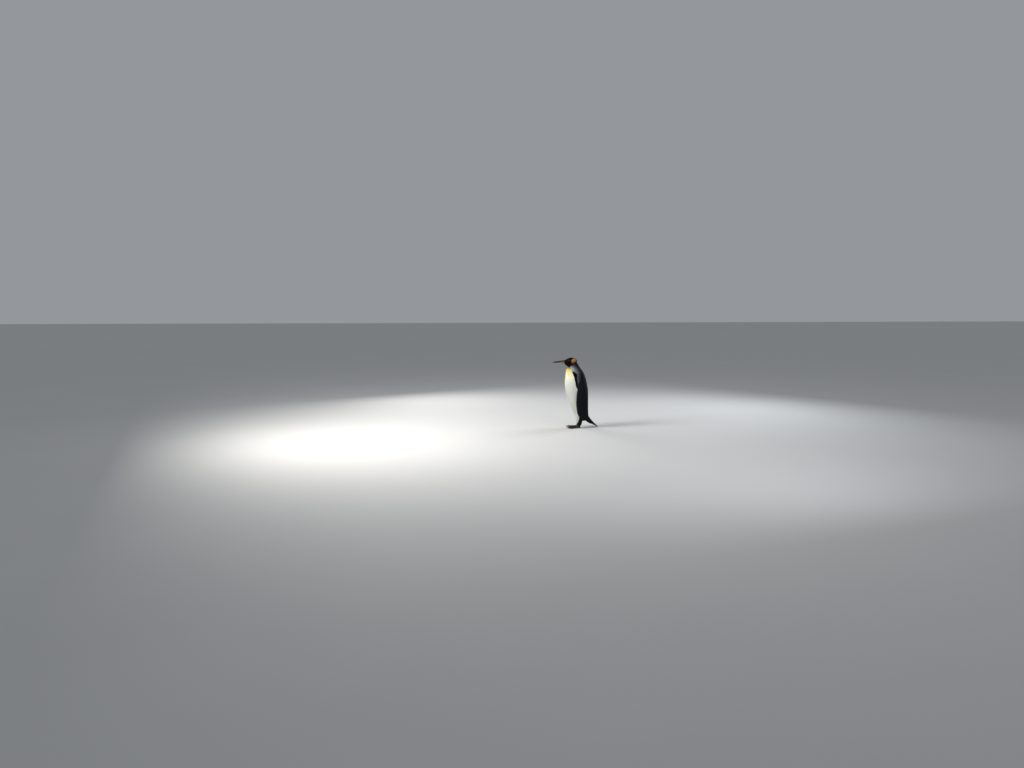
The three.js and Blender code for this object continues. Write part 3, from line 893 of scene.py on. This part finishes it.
def lay_coat(name, members, vane, unwrapped):
    """One piece of the coat: a vane on each of its roots."""
    across, length_share, through, faces = vane
    line = curve(roots[members], half_way[members], ends[members], length_share)
    up = unit(curve(root_normals[members], half_normals[members], end_normals[members], length_share))
    aim = unit(ends[members] - roots[members])[:, None]
    sideways = unit(np.cross(up, aim))
    wide = widths[members][:, None]
    # The root starts a little inside the skin, and the tip lies at the coat's full depth, give or take.
    lift = -0.15 + (1.0 + 0.08 * (2 * tones[members][:, None] - 1)) * length_share[None] ** 0.55
    lift = lift * depths[members][:, None] - 0.10 * wide * across[None] ** 2 + 0.06 * wide * through[None]
    places = line + sideways * (wide * across[None])[:, :, None] + up * lift[:, :, None]
    places[:, :, 2] = np.maximum(places[:, :, 2], 0.0003)

    number, size = len(members), len(across)
    mesh = bpy.data.meshes.new(name)
    piece = bpy.data.objects.new(name, mesh)
    bpy.context.collection.objects.link(piece)
    loops = np.concatenate(faces)
    lengths_of = np.array([len(face) for face in faces])
    offsets = (np.arange(number) * size)[:, None]
    mesh.vertices.add(number * size)
    mesh.vertices.foreach_set("co", places.ravel())
    mesh.loops.add(number * len(loops))
    mesh.loops.foreach_set("vertex_index", (loops[None] + offsets).ravel().astype(np.int32))
    starts = np.concatenate([[0], np.cumsum(lengths_of)[:-1]])
    starts = (starts[None] + (np.arange(number) * len(loops))[:, None]).ravel()
    mesh.polygons.add(number * len(faces))
    mesh.polygons.foreach_set("loop_start", starts.astype(np.int32))
    shade_smooth(mesh)
    mesh.update(calc_edges=True)
    # The rim of each vane is a sharp edge, so that its face is shaded as flat and not as a grain.
    rim_points = abs(through) < 1e-6
    rim_edges = rim_points[rows_of(mesh.edges, "vertices", 2) % size].all(1)
    mesh.attributes.new("sharp_edge", "BOOLEAN", "EDGE").data.foreach_set("value", rim_edges)

    vane_map = np.stack([0.5 + 0.5 * across[loops], length_share[loops]], 1)
    spots = unwrapped[:, None] + (vane_map - 0.5) * PATCH
    for map_name, flat in (("Vane", np.tile(vane_map, (number, 1))), ("OFBake", spots)):
        mesh.uv_layers.new(name=map_name).data.foreach_set("uv", flat.ravel())
    each = {key: np.repeat(values[members], size) for key, values in marks.items()}
    set_values(piece, tone=np.repeat(tones[members], size), **each)
    piece.data.materials.append(coat_finish.material)
    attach(piece, "root")
    return piece


def vane_channels(finish):
    """How far along a feather each place lies, and how far off its shaft, from the feather's own map."""
    place = finish.add("ShaderNodeUVMap", {"uv_map": "Vane"})
    across = finish.add("ShaderNodeSeparateXYZ", sockets={0: place}, out=0)
    lengthwise = finish.add("ShaderNodeSeparateXYZ", sockets={0: place}, out=1)
    return lengthwise, finish.maths("ABSOLUTE", across - 0.5)


coat_finish = Finish("plumage", Specular_IOR_Level=0.06)
along_vane, off_shaft = vane_channels(coat_finish)
tip = along_vane.within(0.45, 1.0)
barbs = coat_finish.maths("SINE", along_vane * 46 - off_shaft * 38)
shaft = 1 - off_shaft.within(0.0, 0.05)
tone = 0.7 * coat_finish.attribute("tone") + 0.3 * coat_finish.noise(38)
coat_finish.show(
    Base_Color=coat_finish.shade(plumage(coat_finish, tip, tone), 1.0 - 0.04 * shaft + 0.02 * barbs),
    Roughness=0.58 + 0.14 * coat_finish.noise(70) - 0.10 * coat_finish.attribute("black"),
    Normal=coat_finish.relief(barbs + 2 * shaft, 0.15, 0.00015),
)


BODY_AXIS_Y = -0.02
INNER_SHIFT = 0.16


def over_map(flat):
    """An unwrap spread over the whole map, but for a small margin."""
    low, high = flat.min(0), flat.max(0)
    return 0.02 + 0.96 * (flat - low) / np.maximum(high - low, 1e-6)


def around_body(places):
    """The skin's unwrap round the bird's upright axis."""
    turn = np.arctan2(places[:, 0], BODY_AXIS_Y - places[:, 1])
    return over_map(np.stack([turn * 0.1, places[:, 2]], 1))


def around_flipper(places, faces_in):
    """The flipper's unwrap: its outer face beside its inner one."""
    return over_map(np.stack([places[:, 1] + INNER_SHIFT * faces_in, places[:, 2]], 1))


finish_with(hide, "DECIMATE", ratio=0.27, vertex_group="hidden", vertex_group_factor=1.0)

# The coat is made in pieces, parted at these heights and these places along the bird.
HEAD_LEVEL, NECK_LEVEL, LEG_LEVEL = 0.690, 0.615, 0.105
FACE_END, FRONT_END, LEG_END = -0.062, 0.0, 0.075
x, y, z = roots.T
flipper_root = root_flipper > 0.5
body_root = ~flipper_root
leg_root = body_root & (z < LEG_LEVEL) & (y < LEG_END) & (abs(x) > 0.012)
head_root = body_root & (z > HEAD_LEVEL)
trunk_root = body_root & ~leg_root & ~head_root
zones = {
    "coat_face": (head_root & (y < FACE_END), "hood_feathers"),
    "coat_crown": (head_root & (y >= FACE_END), "hood_feathers"),
    "coat_neck": (trunk_root & (z > NECK_LEVEL), "neck_feathers"),
    "coat_legs": (leg_root, "body_feathers"),
}
LEVELS = [NECK_LEVEL, 0.50, 0.38, 0.26, 0.14, -0.01]
LEVEL_NAMES = ("upper", "middle", "lower", "hip", "lowest")
for level_name, top, bottom in zip(LEVEL_NAMES, LEVELS, LEVELS[1:]):
    band = trunk_root & (z <= top) & (z > bottom)
    zones[f"coat_front_{level_name}"] = (band & (y < FRONT_END), "body_feathers")
    zones[f"coat_back_{level_name}"] = (band & (y >= FRONT_END), "back_feathers")
for name, (zone, slot_name) in zones.items():
    members = np.flatnonzero(zone)
    lay_coat(name, members, LONG_VANE, around_body(roots[members]))
for side, sign in SIDES.items():
    members = np.flatnonzero(flipper_root & (sign * x > 0))
    unwrapped = around_flipper(roots[members], sign * root_normals[members, 0] < 0)
    lay_coat(f"coat_flipper_{side}", members, SHORT_VANE, unwrapped)

# ------------------------ tail
# Stiff feathers with thick shafts in a narrow fan, five deep, that close to a thin edge. They come out from
# under the feathers of the rump and prop the bird: the tips of the middle ones rest on the floor.

TAIL_SPREAD = math.radians(14)
TAIL_ROOT_Y = 0.160
TAIL_TIP = (0.2565, 0.0016)
TAIL_FEATHER_HALF = 0.0068
TAIL_FEATHER_THICK = 0.0010
LAYER_STEP = 0.0008
# Each layer: the height of its root, how far short of the tip it ends, and how many feathers it has.
TAIL_LAYERS = [
    (0.1020, 0.000, 11), (0.0920, 0.004, 10), (0.0820, 0.006, 11), (0.0715, 0.010, 10), (0.0610, 0.014, 9),
]


def tail_feather(name, fan, layer):
    """One tail feather. fan is its place from -1 to 1, and layer is 0 for the topmost."""
    only()
    bpy.ops.mesh.primitive_grid_add(x_subdivisions=6, y_subdivisions=20, size=1)
    blade = bpy.context.object
    blade.name = name
    places = points_of(blade)
    across, share = places[:, 0] * 2, places[:, 1] + 0.5
    root_z, short, _ = TAIL_LAYERS[layer]
    start = np.array([fan * 0.019, TAIL_ROOT_Y, root_z - 0.007 * fan * fan])
    reach = np.array([0, TAIL_TIP[0] - TAIL_ROOT_Y, TAIL_TIP[1] + LAYER_STEP * (4 - layer) - start[2]])
    whole = np.linalg.norm(reach)
    length = (whole - short) * (1 - 0.20 * abs(fan) ** 1.7)
    run = unit(reach / whole + np.array([math.tan(fan * TAIL_SPREAD), 0, 0]))
    sideways = unit(np.cross(run, (0, 0, 1)))
    up = np.cross(sideways, run)
    half = TAIL_FEATHER_HALF * np.minimum(1, 0.55 + share)
    half = half * np.sqrt(np.clip(1 - ((share - 0.80).clip(0) / 0.203) ** 2.6, 0, 1))
    shaft = 0.0005 * np.exp(-((across / 0.25) ** 2)) - 0.0008 * across**2
    middle = start + run * (share * length)[:, None] + up * shaft[:, None]
    set_points(blade, middle + sideways * (across * half)[:, None])
    finish_with(blade, "SOLIDIFY", thickness=TAIL_FEATHER_THICK, offset=0)
    blade.data.uv_layers.active.name = "Vane"
    shade_smooth(blade.data)
    return blade


blades = []
for layer, (_, _, number) in enumerate(TAIL_LAYERS):
    for i in range(number):
        fan = (2 * i / (number - 1) - 1) * (1 - 0.035 * layer)
        blades.append(tail_feather(f"tail_{layer}_{i}", fan, layer))
only(*blades)
bpy.ops.object.join()
tail = bpy.context.object
tail.name = "tail_feathers"
set_on_floor(tail, points_of(tail))
tail_finish = Finish("tail_feather", Specular_IOR_Level=0.25)
along_vane, off_shaft = vane_channels(tail_finish)
barbs = tail_finish.maths("SINE", along_vane * 520 - off_shaft * 60)
shaft = 1 - off_shaft.within(0.02, 0.06)
worn = along_vane.within(0.82, 1.0) * tail_finish.noise(240, 4).within(0.4, 0.62)
colour = tail_finish.blend(shaft, (0.0085, 0.0090, 0.0110), (0.020, 0.018, 0.017))
colour = tail_finish.blend(worn, colour, (0.038, 0.034, 0.031))
tail_finish.show(
    Base_Color=tail_finish.shade(colour, 0.9 + 0.12 * barbs),
    Roughness=0.50 + 0.15 * tail_finish.noise(90),
    Normal=tail_finish.relief(barbs + 3 * shaft, 0.35, 0.0002),
)
tail.data.materials.clear()
tail.data.materials.append(tail_finish.material)
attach(tail, "root")

# ------------------------ eyes
# A dark brown eye with a black pupil under a clear bulging cornea, held by bare lids. Each is a glass ball
# set into the skin, turned a little forward.

IRIS_RADIUS = 0.0046
PUPIL_RADIUS = 0.0026
CORNEA_HEIGHT = 0.0007
CORNEA_RADIUS = 0.0050

for side in SIDES:
    only()
    bpy.ops.mesh.primitive_uv_sphere_add(segments=40, ring_count=28, radius=EYE_RADIUS)
    eye = bpy.context.object
    eye.name = f"eyeball_{side}"
    axis = Vector(EYE_AXES[side])
    places = points_of(eye)
    # The cornea bulges over the iris, about the sphere's own pole.
    off = np.hypot(places[:, 0], places[:, 1])
    bulge = CORNEA_HEIGHT * (1 - fade(off, 0.0, CORNEA_RADIUS)) * (places[:, 2] > 0)
    places = places * (1 + bulge / EYE_RADIUS)[:, None]
    turn = np.array(axis.to_track_quat("Z", "Y").to_matrix())
    set_points(eye, places @ turn.T + EYE_CENTRES[side])
    shade_smooth(eye.data)
    glass = Finish(f"eye_{side}", Roughness=0.04, Specular_IOR_Level=0.25, Coat_Weight=0.45)
    centre = tuple(EYE_CENTRES[side])
    out = glass.add("ShaderNodeVectorMath", {"operation": "SUBTRACT"}, {0: glass.place(), 1: centre})
    ahead = glass.add("ShaderNodeVectorMath", {"operation": "DOT_PRODUCT"}, {0: out, 1: tuple(axis)}, "Value")
    whole = glass.add("ShaderNodeVectorMath", {"operation": "LENGTH"}, {0: out}, "Value")
    off_axis = glass.maths("SQRT", glass.maths("MAXIMUM", whole * whole - ahead * ahead, 0.0))
    fibres = glass.noise(900, 3)
    iris = glass.blend(fibres.within(0.35, 0.65), (0.020, 0.008, 0.004), (0.052, 0.021, 0.010))
    iris = glass.blend(off_axis.within(IRIS_RADIUS - 0.0011, IRIS_RADIUS), iris, (0.006, 0.004, 0.003))
    pupil = 1 - off_axis.within(PUPIL_RADIUS - 0.0003, PUPIL_RADIUS + 0.0003)
    glass.show(Base_Color=glass.blend(pupil, iris, (0.002, 0.002, 0.002)))
    eye.data.materials.append(glass.material)
    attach(eye, "root")
    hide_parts(f"eye_{side}")

# ------------------------ bill
# Two halves of horn, long, slender and drawn down at the tip. The upper is black all over, and the lower
# carries a smooth pale pink-orange plate over its root half. Both are sheathed in fine lengthwise grain.

BILL_MESH = 0.0006
HORN_BLACKS = ((0.0050, 0.0045, 0.0045), (0.014, 0.012, 0.012))


def smooth_cast(name, node, grain, rounds):
    """A copy of a CAD node, remade in an even fine mesh and smoothed."""
    cast = cast_of(node)
    finish_with(cast, "REMESH", mode="VOXEL", voxel_size=grain)
    finish_with(cast, "SMOOTH", factor=0.5, iterations=rounds)
    cast.name = name
    shade_smooth(cast.data)
    return cast


def lengthwise_grain(finish, scale):
    """Fine grain drawn out along the bill."""
    stretch = finish.add("ShaderNodeMapping", sockets={"Vector": finish.place(), "Scale": (1, 0.06, 1)})
    return finish.noise(scale, 4, 0.6, stretch)


upper = smooth_cast("bill_horn_upper", "bill_upper", BILL_MESH, 8)
places, outward = points_of(upper), normals_of(upper)
x, y, z = places.T
# A groove runs forward from each nostril, a third of the way down the side.
off_groove = z - (0.7362 - 0.010 * (y + 0.124))
on_side = fade(abs(x), 0.002, 0.004)
groove = np.exp(-((off_groove / 0.0011) ** 2)) * fade(y, -0.225, -0.150) * on_side
nostril = np.exp(-((off_groove / 0.0012) ** 2) - ((y + 0.137) / 0.0055) ** 2) * on_side
set_points(upper, places - outward * (0.00045 * groove + 0.0011 * nostril)[:, None])
horn = Finish("bill_horn", Specular_IOR_Level=0.16)
grain = lengthwise_grain(horn, 900)
flakes = horn.noise(160, 5, 0.6)
colour = horn.blend(grain, *HORN_BLACKS)
colour = horn.blend(flakes.within(0.60, 0.75), colour, (0.026, 0.023, 0.021))
horn.show(Base_Color=colour, Roughness=0.34 + 0.22 * grain, Normal=horn.relief(grain, 0.25, 0.0002))
upper.data.materials.append(horn.material)
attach(upper, "root")
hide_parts("bill_upper")

lower_half = smooth_cast("bill_horn_lower", "bill_lower", BILL_MESH, 8)
places, outward = points_of(lower_half), normals_of(lower_half)
x, y, z = places.T
# The plate stands a little proud of the horn. It slants forward along the cutting edge, and leaves the keel
# black: PLATE_KEEL is its lower edge, as places along the bird and heights.
PLATE_KEEL = [(-0.22, 0.7215), (-0.19, 0.7200), (-0.16, 0.7180), (-0.12, 0.7155)]
plate_front = -0.186 - 2.6 * (z - 0.7215)
on_plate = fade(y - plate_front, -0.0012, 0.0012) * fade(z - read_off(PLATE_KEEL, y), -0.0008, 0.0008)
set_points(lower_half, places + outward * (0.0005 * on_plate)[:, None])
plate = Finish("bill_plate", Specular_IOR_Level=0.20)
grain = lengthwise_grain(plate, 700)
mottle = plate.noise(120, 3)
pink = plate.blend(mottle, (0.33, 0.190, 0.130), (0.43, 0.275, 0.200))
pink = plate.blend(grain.within(0.45, 0.75), pink, (0.28, 0.15, 0.10))
plate.show(
    Base_Color=plate.blend(plate.attribute("plate"), plate.blend(grain, *HORN_BLACKS), pink),
    Roughness=0.34 + 0.18 * grain,
    Normal=plate.relief(grain, 0.18, 0.0002),
)
lower_half.data.materials.append(plate.material)
set_values(lower_half, plate=on_plate)
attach(lower_half, "root")
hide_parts("bill_lower")

# ------------------------ claws
# Eight blunt black claws, three long ones and a small hind one on each foot, curved and worn at the tip, each
# growing from a socket in the skin of its toe.

CLAW_MESH = 0.0005
claw_finish = Finish("claw_horn", Specular_IOR_Level=0.5)
grain = claw_finish.noise(500, 4, 0.6)
worn = claw_finish.noise(180, 4).within(0.5, 0.7)
colour = claw_finish.blend(grain, (0.012, 0.011, 0.010), (0.030, 0.027, 0.024))
colour = claw_finish.blend(worn, colour, (0.060, 0.052, 0.045))
claw_finish.show(
    Base_Color=colour,
    Roughness=0.34 + 0.2 * grain,
    Normal=claw_finish.relief(grain, 0.3, 0.0002),
)
for side in SIDES:
    for toe in TOES:
        claw = smooth_cast(f"claw_{toe}_horn_{side}", f"claw_{toe}_{side}", CLAW_MESH, 6)
        set_on_floor(claw, points_of(claw))
        claw.data.materials.append(claw_finish.material)
        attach(claw, "root")
        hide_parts(f"claw_{toe}_{side}")
